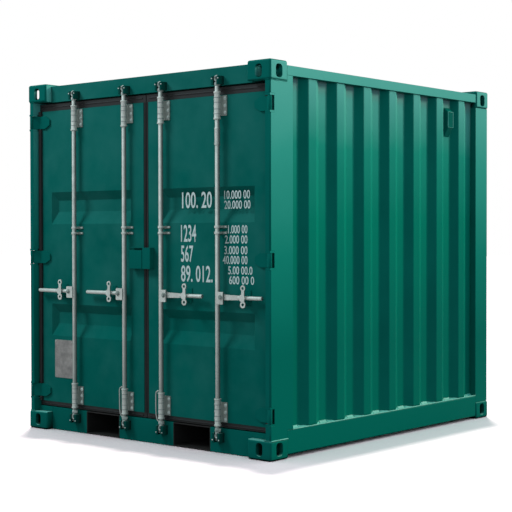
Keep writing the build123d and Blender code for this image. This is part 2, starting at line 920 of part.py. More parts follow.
def lock_box(side, reach, drop):
    """One half of the lock box at the meeting edge: a hood open below and towards the other half."""
    middle = door_low + box_share * door_tall
    low = middle - box_tall / 2
    high = middle + box_tall / 2
    box_x = (side * box_half_gap, side * reach)
    block(box_x, (behind(box_front), behind(door_face_depth)), (low, high - drop))
    block(
        (0, side * (reach - box_plate)),
        (behind(box_front + box_plate), behind(door_face_depth + cut_over)),
        (low - cut_over, high - drop - box_plate),
        Mode.SUBTRACT,
    )
    if drop:
        block(box_x, (behind(box_front), behind(door_face_depth)), (high - box_plate, high))


def lock_bar(side, line):
    """One locking bar: a pipe with a flat cam at each end and the forked hub of its handle."""
    centre = (side * line, behind(bar_depth))
    rod(centre, bar_radius, "z", (bar_low, bar_high))
    low_cam = (bar_low - low_cam_tall, bar_low + cam_root)
    top_cam = (bar_high - cam_root, bar_high + top_cam_tall)
    for cam_z in (low_cam, top_cam):
        block(
            (centre[0] - cam_wide / 2, centre[0] + cam_wide / 2),
            (centre[1] - cam_deep / 2, centre[1] + cam_deep / 2),
            cam_z,
        )
    hub_z = (handle_z - hub_drop, handle_z + hub_rise)
    block((centre[0], centre[0] + side * hub_long), (behind(hub_front), behind(fork_front)), hub_z)
    far_edge = centre[0] + side * hub_long
    rounded = [
        edge for edge in edges().filter_by(Axis.Y) if abs(edge.center().X - far_edge) < hub_round
    ]
    fillet(rounded, hub_round)
    cheek_z = (handle_z - cheek_half, handle_z + cheek_half)
    block((centre[0], centre[0] + side * cheek_long), (behind(fork_back), behind(cheek_back)), cheek_z)
    block((centre[0], centre[0] + side * fork_start), (behind(fork_front), behind(fork_back)), cheek_z)
    pivot_x = centre[0] + side * handle_pivot
    rod((pivot_x, handle_z), pivot_radius, "y", (behind(hub_front), behind(cheek_back)))
    rod(centre, bar_bore, "z", (bar_low + cam_root, bar_high - cam_root), Mode.SUBTRACT)


def seal_plate(centre_x):
    """The plate in front of a handle: an eye above, a broad middle and a tongue below, each with a hole."""
    plate_back = behind(catch_front + catch_thick)
    plane = Plane(origin=(centre_x, plate_back, handle_z), x_dir=(1, 0, 0), z_dir=(0, -1, 0))
    with BuildSketch(plane) as outline:
        with Locations((0, (catch_eye_rise - catch_tongue_drop) / 2)):
            Rectangle(catch_web, catch_eye_rise + catch_tongue_drop)
        with Locations((0, catch_eye_rise)):
            Circle(catch_eye_radius)
        with Locations((-catch_middle_shift, 0)):
            Circle(catch_middle_radius)
        with Locations((0, -catch_tongue_drop)):
            Circle(catch_tongue_radius)
        with Locations((0, catch_eye_rise), (0, -catch_tongue_drop)):
            Circle(catch_hole_radius, mode=Mode.SUBTRACT)
    extrude(outline.sketch, amount=catch_thick)


def handle(side, line, reach):
    """One handle: an eye on the hub's pivot, a tapering arm, a round grip and the seal plate in front."""
    pivot_x = side * (line + handle_pivot)
    tip_x = side * (line + handle_reach)
    arm_x = side * (line + reach - arm_end_gap)
    arm_s = (handle_depth - handle_thick / 2, handle_depth + handle_thick / 2)
    arm = [
        (pivot_x, handle_z - arm_half), (arm_x, handle_z - arm_end_half),
        (arm_x, handle_z + arm_end_half), (pivot_x, handle_z + arm_half),
    ]
    rod((behind(handle_depth), handle_z), grip_radius, "x", (arm_x - side * grip_lap, tip_x))
    tip_edge = edges().filter_by(GeomType.CIRCLE).sort_by(Axis.X)[-1 if side > 0 else 0]
    fillet(tip_edge, grip_round)
    lengthwise(arm, arm_s[0], arm_s[1])
    rod((pivot_x, handle_z), eye_radius, "y", (behind(arm_s[0]), behind(arm_s[1])))
    pin_y = (behind(arm_s[0] - cut_over), behind(arm_s[1] + cut_over))
    rod((pivot_x, handle_z), pivot_radius + pivot_play, "y", pin_y, Mode.SUBTRACT)
    plate_x = side * (line + reach)
    rod((plate_x, handle_z), pivot_radius, "y", (behind(catch_front + catch_thick), behind(handle_depth)))
    seal_plate(plate_x)


with BuildPart() as left_door_stiles:
    door_stiles(sides["left"])
save(left_door_stiles, "left_door_stiles")

with BuildPart() as right_door_stiles:
    door_stiles(sides["right"])
save(right_door_stiles, "right_door_stiles")

with BuildPart() as left_door_rails:
    door_rails(sides["left"])
save(left_door_rails, "left_door_rails")

with BuildPart() as right_door_rails:
    door_rails(sides["right"])
save(right_door_rails, "right_door_rails")

with BuildPart() as left_door_panel:
    door_panel(sides["left"])
save(left_door_panel, "left_door_panel")

with BuildPart() as right_door_panel:
    door_panel(sides["right"])
save(right_door_panel, "right_door_panel")

with BuildPart() as left_door_gasket:
    door_gasket(sides["left"])
save(left_door_gasket, "left_door_gasket")

with BuildPart() as right_door_gasket:
    door_gasket(sides["right"])
save(right_door_gasket, "right_door_gasket")

with BuildPart() as left_hinge_straps:
    hinge_straps(sides["left"])
save(left_hinge_straps, "left_hinge_straps")

with BuildPart() as right_hinge_straps:
    hinge_straps(sides["right"])
save(right_hinge_straps, "right_hinge_straps")

with BuildPart() as left_bar_guides:
    bar_guides(sides["left"])
save(left_bar_guides, "left_bar_guides")

with BuildPart() as right_bar_guides:
    bar_guides(sides["right"])
save(right_bar_guides, "right_bar_guides")

with BuildPart() as left_handle_retainers:
    handle_retainers(sides["left"], catch_reach["left"])
save(left_handle_retainers, "left_handle_retainers")

with BuildPart() as right_handle_retainers:
    handle_retainers(sides["right"], catch_reach["right"])
save(right_handle_retainers, "right_handle_retainers")

with BuildPart() as left_lock_box:
    lock_box(sides["left"], box_reach["left"], box_drop["left"])
save(left_lock_box, "left_lock_box")

with BuildPart() as right_lock_box:
    lock_box(sides["right"], box_reach["right"], box_drop["right"])
save(right_lock_box, "right_lock_box")

# Locking bars and handles, numbered from the left door's outer bar to the right door's outer bar
near_line, far_line = bar_lines
bar_places = [("left", far_line), ("left", near_line), ("right", near_line), ("right", far_line)]
for number, (door, line) in enumerate(bar_places, start=1):
    with BuildPart() as bar:
        lock_bar(sides[door], line)
    save(bar, f"lock_bar_{number}")
    with BuildPart() as bar_handle:
        handle(sides[door], line, catch_reach[door])
    save(bar_handle, f"handle_{number}")
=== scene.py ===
import json
import math

import bmesh
import bpy
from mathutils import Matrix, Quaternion, Vector


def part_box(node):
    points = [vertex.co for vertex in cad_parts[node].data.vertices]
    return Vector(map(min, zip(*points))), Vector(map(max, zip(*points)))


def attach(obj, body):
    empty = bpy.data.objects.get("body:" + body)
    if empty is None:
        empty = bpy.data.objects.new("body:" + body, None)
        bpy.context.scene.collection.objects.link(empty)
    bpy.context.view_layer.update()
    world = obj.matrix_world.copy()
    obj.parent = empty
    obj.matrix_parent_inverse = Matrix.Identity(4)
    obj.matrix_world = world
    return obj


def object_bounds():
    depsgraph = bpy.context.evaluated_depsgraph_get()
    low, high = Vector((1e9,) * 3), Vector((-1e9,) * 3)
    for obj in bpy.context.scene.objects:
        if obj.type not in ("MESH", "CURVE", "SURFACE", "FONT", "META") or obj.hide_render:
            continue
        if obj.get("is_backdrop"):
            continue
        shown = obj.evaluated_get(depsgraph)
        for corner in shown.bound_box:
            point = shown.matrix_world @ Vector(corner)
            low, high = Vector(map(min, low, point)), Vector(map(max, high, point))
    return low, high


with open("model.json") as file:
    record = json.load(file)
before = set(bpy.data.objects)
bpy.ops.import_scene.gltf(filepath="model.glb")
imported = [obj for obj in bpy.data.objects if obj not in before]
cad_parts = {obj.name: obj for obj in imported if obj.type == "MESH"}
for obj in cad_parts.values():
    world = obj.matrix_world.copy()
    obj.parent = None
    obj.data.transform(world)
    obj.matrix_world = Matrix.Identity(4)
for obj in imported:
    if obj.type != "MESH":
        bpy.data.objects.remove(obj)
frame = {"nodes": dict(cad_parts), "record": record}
nodes = frame["nodes"]
cad_low, cad_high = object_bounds()
joints = {joint["name"]: joint for joint in frame["record"]["behaviour"]["joints"]}

# Main lines of the container in metres, read from the frame
side_x = cad_high.x
door_y = cad_low.y
bar_numbers = (1, 2, 3, 4)
bar_x = [joints[f"bar_{number}_turn"]["pos_m"][0] for number in bar_numbers]
bar_y = joints["bar_1_turn"]["pos_m"][1]
pivots = [joints[f"handle_{number}_lift"]["pos_m"] for number in bar_numbers]
bar_doors = ["left_door", "left_door", "right_door", "right_door"]
door_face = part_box("right_door_panel")[0].y
leaf_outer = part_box("right_door_stiles")[1].x
leaf_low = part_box("right_door_stiles")[0].z
leaf_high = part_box("right_door_stiles")[1].z
keeper_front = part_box("keepers")[0].y
post_low, post_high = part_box("door_post_right")
casting_levels = (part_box("bottom_castings")[1].z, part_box("top_castings")[0].z)
rail_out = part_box("bottom_side_rails")[1].x
board_low, board_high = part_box("floor_boards")
door_sides = (("left", -1), ("right", 1))
outwards = (0, -1, 0)
upwards = (0, 0, 1)

# Camera of the photograph
camera_place = (5.8246, -6.9479, 1.3112)
camera_azimuth = 40.346
camera_elevation = -0.957
camera_roll = -0.0926
camera_lens = 91.37
camera_sensor = 36.0

# Paint and metal colours, linear
paint_light = (0.0020, 0.136, 0.109, 1)
paint_dark = (0.0014, 0.114, 0.092, 1)
paint_dust = (0.006, 0.136, 0.112, 1)
# Pale green of the strips, beads and rims that are painted highlights
pale_highlight_light = (0.09, 0.42, 0.37, 1)
pale_highlight_dark = (0.03, 0.27, 0.23, 1)
paint_haze = (0.016, 0.158, 0.132, 1)
# Up-facing ledges: dust and a painted highlight
ledge_dust_and_light = (0.13, 0.43, 0.36, 1)
paint_grime = (0.17, 0.23, 0.225, 1)
black = (0.004, 0.004, 0.004, 1)
white = (1, 1, 1, 1)
zinc_light = (0.64, 0.68, 0.62, 1)
zinc_dark = (0.38, 0.42, 0.38, 1)
# Deep zinc tone: painted shade low down, the darker plates, and the dark of mottles
zinc_deep = (0.15, 0.19, 0.165, 1)
# Painted shade on the side of the zinc that faces right
zinc_right_shade = (0.05, 0.08, 0.075, 1)
rubber_light = (0.014, 0.017, 0.017, 1)
rubber_dark = (0.006, 0.008, 0.008, 1)
pocket_light = (0.010, 0.010, 0.009, 1)
pocket_dark = (0.004, 0.004, 0.004, 1)
ply_light = (0.40, 0.25, 0.13, 1)
ply_dark = (0.24, 0.14, 0.07, 1)
figure_light = (0.72, 0.80, 0.76, 1)
figure_dark = (0.54, 0.64, 0.60, 1)
tag_light = (0.36, 0.33, 0.30, 1)
tag_dark = (0.17, 0.16, 0.15, 1)
claw_light = (0.66, 0.72, 0.66, 1)
bolt_white = (0.74, 0.80, 0.74, 1)
bolt_light = (0.20, 0.24, 0.235, 1)
bolt_dark = (0.07, 0.10, 0.095, 1)

# Painted light on the faces that look sideways, paler and brighter towards the top: heights in metres and
# the colours there
light_ramp_height = 2.5
light_ramp_unevenness = 0.10
wall_light_ramp = [
    (0.60, (0.0003, 0.132, 0.100, 1)),
    (1.40, (0.0004, 0.182, 0.130, 1)),
    (1.85, (0.0090, 0.242, 0.188, 1)),
    (2.30, (0.1100, 0.425, 0.395, 1)),
]
post_light_ramp = [
    (0.60, (0.0003, 0.128, 0.102, 1)),
    (1.20, (0.0045, 0.202, 0.160, 1)),
    (1.80, (0.0300, 0.312, 0.262, 1)),
    (2.30, (0.0950, 0.425, 0.380, 1)),
]

# Paint recipe: pattern scales, strengths, and spans of height, slope and pattern value
tone_scale = 2.2
tone_stops = [(0.35, paint_dark), (0.65, paint_light)]
streak_scale = 9.0
streak_stretch = (1, 1, 0.06)
streak_span = (0.55, 0.80)
streak_strength = 0.4
haze_scale = 3.4
haze_heights = (0.5, 2.1)
haze_climb = 0.16
haze_span = (0.42, 0.78)
door_haze = 0.9
# Up-facing ledges, with dust and a painted highlight: slopes, heights, and the share left on top
ledge_slopes = (0.55, 0.95)
ledge_heights = (0.3, 0.6)
ledge_share_on_top = 0.1
# Painted light: which faces count as lit sides, by how far they turn sideways and away from the door end
lit_side_lean = 0.3
lit_side_span = (0.80, 0.97)
bend_radius = 0.018
bend_samples = 8
valley_depths = (0.0475, 0.044)
grime_heights = (2.15, 2.23)
grime_scale = 30.0
grime_strengths = (0.3, 1.1)
# Painted shade: black deep inside holes, and the keepers kept at half their colour
shade_samples = 8
casting_shade = 0.09
casting_shade_span = (0.30, 0.62)
casting_lit_share = 1
keeper_shade = 0.05
keeper_shade_span = (0.35, 0.90)
keeper_lit_share = 0.5
paint_specular = 0.006
paint_rough = (0.32, 0.50)
peel_scale = 340.0
peel_strength = 0.10
peel_depth = 0.0006

# Zinc, mottled and plywood recipes
spangle_scale = 90.0
spangle_strength = 0.18
zinc_scale = 14.0
zinc_span = (0.30, 0.80)
# Painted shade on the zinc: darker low down and on the side that faces right; the plates darker
zinc_shade_heights = (0.30, 1.10)
zinc_right_shade_slopes = (0.40, 0.92)
zinc_rough = (0.38, 0.62)
zinc_metallic = 0.20
zinc_strength = 0.08
plate_dark_depths = (0.004, 0.001)
mottle_span = (0.3, 0.7)
mottle_specular = 0.2
fine_scale = 12
grain_scale = 6.0
grain_stretch = (12, 0.6, 12)
grain_rough = (0.55, 0.75)
grain_strength = 0.2
relief_depth = 0.001

# Edges of the solids, with angles in degrees
merge_distance = 0.00002
flat_angle = 0.5
edge_width = 0.0015
edge_segments = 2
edge_angle = 40

# Bolts, rivets, welds and sealing beads
bolt_radius = 0.0085
bolt_sides = 6
washer_radius = 0.0125
washer_tall = 0.002
washer_sides = 16
head_tall = 0.0065
chamfer = 0.0015
rivet_dome_shares = [(1.0, 0.0), (0.92, 0.3), (0.6, 0.55), (0.2, 0.65)]
rivet_sides = 12
tube_sides = 8
thin_sides = 6
rod_sides = 10
ripple_waves = (2.4, 1.1)
weld_radius = 0.003
weld_step = 0.02
weld_ripple = 0.25
bead_radius = 0.0035
bead_ripple = 0.15
corner_steps = 5

# Bar guides, with the strap pairs at mid height
guide_plate = 0.008
plate_front = door_face - guide_plate
guide_levels = (0.248, 2.078)
strap_levels = (1.320, 1.356)
bolt_reach = 0.039
bolt_rows = (-0.042, 0.0, 0.042)
guide_bolt_scale = 0.9
strap_rivet = 0.0055
bush_radius = 0.0186
bush_joints = (-0.050, -0.022, 0.018, 0.046)
bush_joint_radius = 0.0016
ring_steps = 24

# Handles, keepers and the claws of the bars: a claw is rings (radius, rise) and a hook (across, rise)
pivot_bolt_scale = 1.25
keeper_levels = (0.084, 2.238)
stud_reach = 0.0255
stud_radius = 0.0045
claw_levels = ((2.205, 1), (0.143, -1))
claw_out = 0.012
claw_rings = [
    (0.0140, -0.011),
    (0.0172, -0.009),
    (0.0185, -0.003),
    (0.0185, 0.004),
    (0.0168, 0.010),
    (0.0140, 0.012),
]
claw_ring_sides = 20
hook_route = [
    (0.010, 0.014),
    (-0.004, 0.022),
    (-0.010, 0.033),
    (-0.006, 0.043),
    (0.006, 0.047),
    (0.013, 0.044),
]
hook_radius = 0.0058

# Black plate in the low left casting, a painted shade for the dark seen through its side hole: its place
# behind the side face, along the casting and up it
shade_plate_inset = 0.034
shade_plate_thick = 0.003
shade_plate_start, shade_plate_stop = 0.032, 0.146
shade_plate_foot, shade_plate_head = 0.028, 0.104

# Data plate on the left door: its middle, its size and its rivets
tag_centre = (-0.7775, 0.479)
tag_size = (0.181, 0.254)
tag_thick = 0.0025
tag_corner = 0.008
tag_edge = 0.0008
tag_rivet_reach = (0.080, 0.116)
tag_rivet = 0.0045

# Plain figures on the right door: each row has its text, its left and right ends, and its foot and head
figure_rows = [
    ("100. 20", 0.313, 0.560, 1.470, 1.570),
    ("10.000 00", 0.660, 0.862, 1.521, 1.572),
    ("20.000 00", 0.660, 0.866, 1.462, 1.512),
    ("1234", 0.303, 0.430, 1.265, 1.370),
    ("1.000 00", 0.690, 0.842, 1.316, 1.366),
    ("2.000 00", 0.665, 0.842, 1.256, 1.306),
    ("567", 0.303, 0.405, 1.142, 1.245),
    ("3.000 00", 0.660, 0.842, 1.192, 1.242),
    ("40.000 00", 0.648, 0.842, 1.134, 1.184),
    ("89. 012.", 0.303, 0.565, 1.020, 1.122),
    ("5.00 00.0", 0.690, 0.880, 1.073, 1.122),
    ("600 00 0", 0.697, 0.893, 1.014, 1.064),
]
figure_film = 0.0006
figure_weight = 0.012
figure_steps = 3

# Sleeve round the outer right bar
sleeve_level = 1.842
sleeve_long = 0.103
sleeve_bore = 0.0142
sleeve_waist = 0.0162
sleeve_edge = 0.0165
sleeve_collar = 0.0175
collar_tall = 0.010
collar_slope = 0.002
sleeve_sides = 24

# Tie rods: a bent route (across from the bar, height) beside the low guides of the inner bars
tie_bars = (2, 3)
tie_back = 0.004
tie_radius = 0.0045
tie_route = [
    (-0.018, 0.338),
    (-0.034, 0.338),
    (-0.046, 0.330),
    (-0.050, 0.316),
    (-0.050, 0.250),
    (-0.048, 0.190),
    (-0.040, 0.158),
    (-0.028, 0.148),
    (-0.018, 0.156),
    (-0.018, 0.170),
]

# Lips of the door seals: two at the outer edge between the hinges, one at each other edge
hinge_levels = (0.258, 1.160, 2.068)
hinge_clear = 0.047
outer_lip_out = 0.012
outer_lip_apart = 0.006
outer_lip_radius = 0.0035
flat_lip_back = 0.018
low_lip_drop = 0.018
high_lip_rise = 0.027
end_lip_start = 0.030
end_lip_out = 0.015
end_lip_radius = 0.005
inner_lip_x = 0.013
inner_lip_radius = 0.004

# Foot of the side walls, with a pale strip that is a painted highlight of the lit ledge
level_slack = 0.002
line_digits = 4
ledge_strip_wide = 0.010
ledge_strip_tall = 0.014
ledge_strip_thin_share = 0.3
ledge_strip_back_share = 0.1
ledge_strip_ripple_share = 0.12

# Welds and beads of the castings and rims of the vents; the pale beads and rims are painted highlights
casting_weld_inset = 0.02
casting_weld_long = 0.155
post_corner = 0.010
post_corner_cut = 0.003
casting_bead_inset = 0.004
vent_rim_sink = 0.001
vent_rim_radius = 0.0035

# Floor boards
seam_shares = (0.25, 0.5, 0.75)
seam_inset = 0.01
seam_sink = 0.001
seam_radius = 0.0025
screw_rows = 7
screw_lines = 12
screw_radius = 0.006

# Studio
floor_half = 60.0
floor_albedo = 0.35
floor_seen = (2.66, 2.27, 2.22, 1)
world_level = 0.38
world_colour = (0.86, 0.96, 1.06, 1)


def grey(value):
    """A plain grey."""
    return (value, value, value, 1)


def node_tree(name):
    """A new material, its node tree and its principled shader."""
    material = bpy.data.materials.new(name)
    material.use_nodes = True
    tree = material.node_tree
    return material, tree, tree.nodes["Principled BSDF"]


def coordinates(tree, output):
    """The object's own coordinates or its surface direction."""
    return tree.nodes.new("ShaderNodeTexCoord").outputs[output]


def split(tree, vector):
    """The X, Y and Z of a vector."""
    parts = tree.nodes.new("ShaderNodeSeparateXYZ")
    tree.links.new(vector, parts.inputs["Vector"])
    return parts.outputs


def calculate(tree, operation, *values):
    """One step of arithmetic on the values of other nodes and plain numbers."""
    step = tree.nodes.new("ShaderNodeMath")
    step.operation = operation
    for number, value in enumerate(values):
        if isinstance(value, float):
            step.inputs[number].default_value = value
        else:
            tree.links.new(value, step.inputs[number])
    return step.outputs["Value"]


def noise(tree, scale, detail, roughness=0.5, stretch=(1, 1, 1)):
    """Noise in the piece's own coordinates."""
    mapping = tree.nodes.new("ShaderNodeMapping")
    mapping.inputs["Scale"].default_value = stretch
    tree.links.new(coordinates(tree, "Object"), mapping.inputs["Vector"])
    texture = tree.nodes.new("ShaderNodeTexNoise")
    texture.inputs["Scale"].default_value = scale
    texture.inputs["Detail"].default_value = detail
    texture.inputs["Roughness"].default_value = roughness
    tree.links.new(mapping.outputs["Vector"], texture.inputs["Vector"])
    return texture.outputs["Fac"]


def ramp(tree, value, stops):
    """A colour ramp over a value."""
    colours = tree.nodes.new("ShaderNodeValToRGB")
    elements = colours.color_ramp.elements
    while len(elements) < len(stops):
        elements.new(0.5)
    for element, (place, colour) in zip(elements, stops):
        element.position = place
        element.color = colour
    tree.links.new(value, colours.inputs["Fac"])
    return colours.outputs["Color"]


def grey_ramp(tree, value, span, low, high):
    """A ramp from one grey to another over a span of a value."""
    return ramp(tree, value, [(span[0], grey(low)), (span[1], grey(high))])


def spread(tree, value, low, high, span=(0.0, 1.0)):
    """A value mapped from a span on to a range."""
    mapped = tree.nodes.new("ShaderNodeMapRange")
    mapped.inputs["From Min"].default_value = span[0]
    mapped.inputs["From Max"].default_value = span[1]
    mapped.inputs["To Min"].default_value = low
    mapped.inputs["To Max"].default_value = high
    tree.links.new(value, mapped.inputs["Value"])
    return mapped.outputs["Result"]


def mix(tree, mask, first, second):
    """Two colours mixed by a mask; each is a node's output or a plain colour."""
    mixed = tree.nodes.new("ShaderNodeMix")
    mixed.data_type = "RGBA"
    tree.links.new(mask, mixed.inputs["Factor"])
    for socket, colour in (("A", first), ("B", second)):
        if isinstance(colour, tuple):
            mixed.inputs[socket].default_value = colour
        else:
            tree.links.new(colour, mixed.inputs[socket])
    return mixed.outputs["Result"]


def bump(tree, shader, height, strength, distance, direction=None):
    """Surface relief from a texture."""
    relief = tree.nodes.new("ShaderNodeBump")
    relief.inputs["Strength"].default_value = strength
    relief.inputs["Distance"].default_value = distance
    tree.links.new(height, relief.inputs["Height"])
    if direction:
        tree.links.new(direction, relief.inputs["Normal"])
    tree.links.new(relief.outputs["Normal"], shader.inputs["Normal"])


def height_mask(tree, heights):
    """Nought below one height and one above the other, in the object's own frame."""
    return spread(tree, split(tree, coordinates(tree, "Object"))["Z"], 0.0, 1.0, heights)


def ledge_mask(tree):
    """Dust and painted highlight on the faces that look up: full low down, little on top of the box."""
    up = spread(tree, split(tree, coordinates(tree, "Normal"))["Z"], 0.0, 1.0, ledge_slopes)
    amount = spread(tree, height_mask(tree, ledge_heights), 1.0, ledge_share_on_top)
    return calculate(tree, "MULTIPLY", up, amount)


def soft_direction(tree):
    """The surface direction, evened out over the bends of a pressed sheet."""
    bends = tree.nodes.new("ShaderNodeBevel")
    bends.samples = bend_samples
    bends.inputs["Radius"].default_value = bend_radius
    return bends.outputs["Normal"]


def lit_side_mask(tree, direction):
    """One on the faces that look sideways or a little away from the door end, which stand for the lit
    sides: where the painted light goes.
    """
    parts = split(tree, direction or coordinates(tree, "Normal"))
    size = calculate(tree, "ABSOLUTE", parts["X"])
    turned = calculate(tree, "MULTIPLY_ADD", parts["Y"], lit_side_lean, size)
    return spread(tree, turned, 0.0, 1.0, lit_side_span)


def painted_light_colour(tree, tone, lit_ramp):
    """Painted light on the sides, paler and brighter towards the top: heights and colours."""
    share = height_mask(tree, (0.0, light_ramp_height))
    uneven = calculate(tree, "MULTIPLY_ADD", tone, light_ramp_unevenness, share)
    even = calculate(tree, "SUBTRACT", uneven, light_ramp_unevenness / 2)
    return ramp(tree, even, [(height / light_ramp_height, colour) for height, colour in lit_ramp])


def paint_colour(tree, lit_ramp=None, haze=0.0, dusty_and_lit=False, direction=None):
    """Sea green with slow tone changes and upright streaks; painted light on the sides, fronts hazy,
    ledges given dust and a painted highlight.
    """
    tone = noise(tree, tone_scale, detail=5, roughness=0.55)
    green = ramp(tree, tone, tone_stops)
    streaks = noise(tree, streak_scale, detail=6, roughness=0.6, stretch=streak_stretch)
    colour = mix(tree, grey_ramp(tree, streaks, streak_span, 0, streak_strength), green, paint_dust)
    if haze:
        cloud = noise(tree, haze_scale, detail=5, roughness=0.6)
        thick = calculate(tree, "MULTIPLY_ADD", height_mask(tree, haze_heights), haze_climb, cloud)
        colour = mix(tree, grey_ramp(tree, thick, haze_span, 0, haze), colour, paint_haze)
    # Painted light on the sides, paler and brighter towards the top
    if lit_ramp:
        colour = mix(tree, lit_side_mask(tree, direction), colour, painted_light_colour(tree, tone, lit_ramp))
    # Dust and a painted highlight on the faces that look up
    if dusty_and_lit:
        colour = mix(tree, ledge_mask(tree), colour, ledge_dust_and_light)
    return tone, colour


def finish_paint(tree, shader, tone, colour, direction=None):
    """The colour, and the sheen and fine orange peel that all the painted pieces share."""
    tree.links.new(colour, shader.inputs["Base Color"])
    shader.inputs["Specular IOR Level"].default_value = paint_specular
    tree.links.new(spread(tree, tone, *paint_rough), shader.inputs["Roughness"])
    bump(tree, shader, noise(tree, peel_scale, detail=3), peel_strength, peel_depth, direction)


def paint_material(name, lit_ramp=None, haze=0.0, dusty_and_lit=False):
    """Sea green paint."""
    material, tree, shader = node_tree(name)
    tone, colour = paint_colour(tree, lit_ramp, haze, dusty_and_lit)
    finish_paint(tree, shader, tone, colour)
    return material


def wall_material():
    """Sea green paint with grey grime in the wall valleys just under the top rail."""
    material, tree, shader = node_tree("wall_paint")
    direction = soft_direction(tree)
    tone, colour = paint_colour(tree, wall_light_ramp, dusty_and_lit=True, direction=direction)
    apart = calculate(tree, "ABSOLUTE", split(tree, coordinates(tree, "Object"))["X"])
    valley = spread(tree, apart, 1.0, 0.0, [side_x - depth for depth in valley_depths])
    deep = calculate(tree, "MULTIPLY", valley, height_mask(tree, grime_heights))
    patch = spread(tree, noise(tree, grime_scale, detail=5, roughness=0.6), *grime_strengths)
    grime = calculate(tree, "MULTIPLY", deep, patch)
    grime.node.use_clamp = True
    finish_paint(tree, shader, tone, mix(tree, grime, colour, paint_grime), direction)
    return material


def shaded_paint_material(name, reach, span, share, lit_ramp=None):
    """Sea green paint with painted shade: a share of its colour shows in the open, and it goes to black
    deep inside holes.
    """
    material, tree, shader = node_tree(name)
    tone, colour = paint_colour(tree, lit_ramp, dusty_and_lit=True)
    shade = tree.nodes.new("ShaderNodeAmbientOcclusion")
    shade.inputs["Distance"].default_value = reach
    shade.samples = shade_samples
    mask = grey_ramp(tree, shade.outputs["AO"], span, 0, share)
    finish_paint(tree, shader, tone, mix(tree, mask, black, colour))
    return material


def zinc_material(name, low_shade, right_shade_share, plate_darkening=0.0):
    """Galvanised steel: a mottled spangle, with painted shade low down and on the side that faces right,
    and darker on the plates.
    """
    material, tree, shader = node_tree(name)
    spangle = tree.nodes.new("ShaderNodeTexVoronoi")
    spangle.inputs["Scale"].default_value = spangle_scale
    tree.links.new(coordinates(tree, "Object"), spangle.inputs["Vector"])
    cloud = noise(tree, zinc_scale, detail=5, roughness=0.6)
    mottle = calculate(tree, "MULTIPLY_ADD", spangle.outputs["Distance"], spangle_strength, cloud)
    colour = ramp(tree, mottle, [(zinc_span[0], zinc_dark), (zinc_span[1], zinc_light)])
    # Painted shade: darker low down and on the side that faces right
    low_shading = spread(tree, height_mask(tree, zinc_shade_heights), low_shade, 0.0)
    colour = mix(tree, low_shading, colour, zinc_deep)
    right = split(tree, coordinates(tree, "Normal"))["X"]
    colour = mix(tree, spread(tree, right, 0.0, right_shade_share, zinc_right_shade_slopes), colour, zinc_right_shade)
    if plate_darkening:
        depth = split(tree, coordinates(tree, "Object"))["Y"]
        plates = [plate_front - out for out in plate_dark_depths]
        colour = mix(tree, spread(tree, depth, 0.0, plate_darkening, plates), colour, zinc_deep)
    tree.links.new(colour, shader.inputs["Base Color"])
    tree.links.new(spread(tree, cloud, *zinc_rough), shader.inputs["Roughness"])
    shader.inputs["Metallic"].default_value = zinc_metallic
    bump(tree, shader, cloud, zinc_strength, relief_depth)
    return material


def mottled_material(name, dark, light, scale, rough, relief):
    """A dull surface with a mottled tone."""
    material, tree, shader = node_tree(name)
    cloud = noise(tree, scale, detail=6, roughness=0.6)
    tone = ramp(tree, cloud, [(mottle_span[0], dark), (mottle_span[1], light)])
    tree.links.new(tone, shader.inputs["Base Color"])
    tree.links.new(spread(tree, cloud, *rough), shader.inputs["Roughness"])
    shader.inputs["Specular IOR Level"].default_value = mottle_specular
    bump(tree, shader, noise(tree, scale * fine_scale, detail=3), relief, relief_depth)
    return material


def plywood_material():
    """Boards running the length of the floor, with grain."""
    material, tree, shader = node_tree("plywood")
    grain = noise(tree, grain_scale, detail=8, roughness=0.6, stretch=grain_stretch)
    tone = ramp(tree, grain, [(mottle_span[0], ply_dark), (mottle_span[1], ply_light)])
    tree.links.new(tone, shader.inputs["Base Color"])
    tree.links.new(spread(tree, grain, *grain_rough), shader.inputs["Roughness"])
    bump(tree, shader, grain, grain_strength, relief_depth)
    return material


paint = paint_material("green_paint")
door_paint = paint_material("door_paint", haze=door_haze)
post_paint = paint_material("post_paint", post_light_ramp, dusty_and_lit=True)
lug_paint = paint_material("lug_paint", post_light_ramp)
wall_paint = wall_material()
casting_paint = shaded_paint_material(
    "casting_paint", casting_shade, casting_shade_span, casting_lit_share, post_light_ramp
)
keeper_paint = shaded_paint_material("keeper_paint", keeper_shade, keeper_shade_span, keeper_lit_share)
zinc = zinc_material("galvanised_steel", low_shade=0.50, right_shade_share=0.85)
guide_zinc = zinc_material("guide_zinc", low_shade=0.15, right_shade_share=0.40, plate_darkening=0.6)
bolt_zinc = mottled_material("bolt_zinc", zinc_dark, bolt_white, scale=40.0, rough=(0.3, 0.5), relief=0.1)
caulk = mottled_material("caulk", pale_highlight_dark, pale_highlight_light, scale=18.0, rough=(0.4, 0.6), relief=0.1)
claw_metal = mottled_material(
    "claw_metal", zinc_deep, claw_light, scale=45.0, rough=(0.35, 0.55), relief=0.2
)
pivot_metal = mottled_material(
    "pivot_metal", zinc_deep, zinc_dark, scale=50.0, rough=(0.4, 0.6), relief=0.1
)
bolt_metal = mottled_material(
    "bolt_metal", bolt_dark, bolt_light, scale=60.0, rough=(0.4, 0.6), relief=0.1
)
rubber = mottled_material(
    "black_rubber", rubber_dark, rubber_light, scale=8.0, rough=(0.55, 0.75), relief=0.15
)
pocket = mottled_material(
    "black_paint", pocket_dark, pocket_light, scale=6.0, rough=(0.6, 0.8), relief=0.2
)
figure_paint = mottled_material(
    "figure_paint", figure_dark, figure_light, scale=30.0, rough=(0.5, 0.7), relief=0.05
)
tag_metal = mottled_material("tag_metal", tag_dark, tag_light, scale=22.0, rough=(0.35, 0.55), relief=0.1)
plywood = plywood_material()

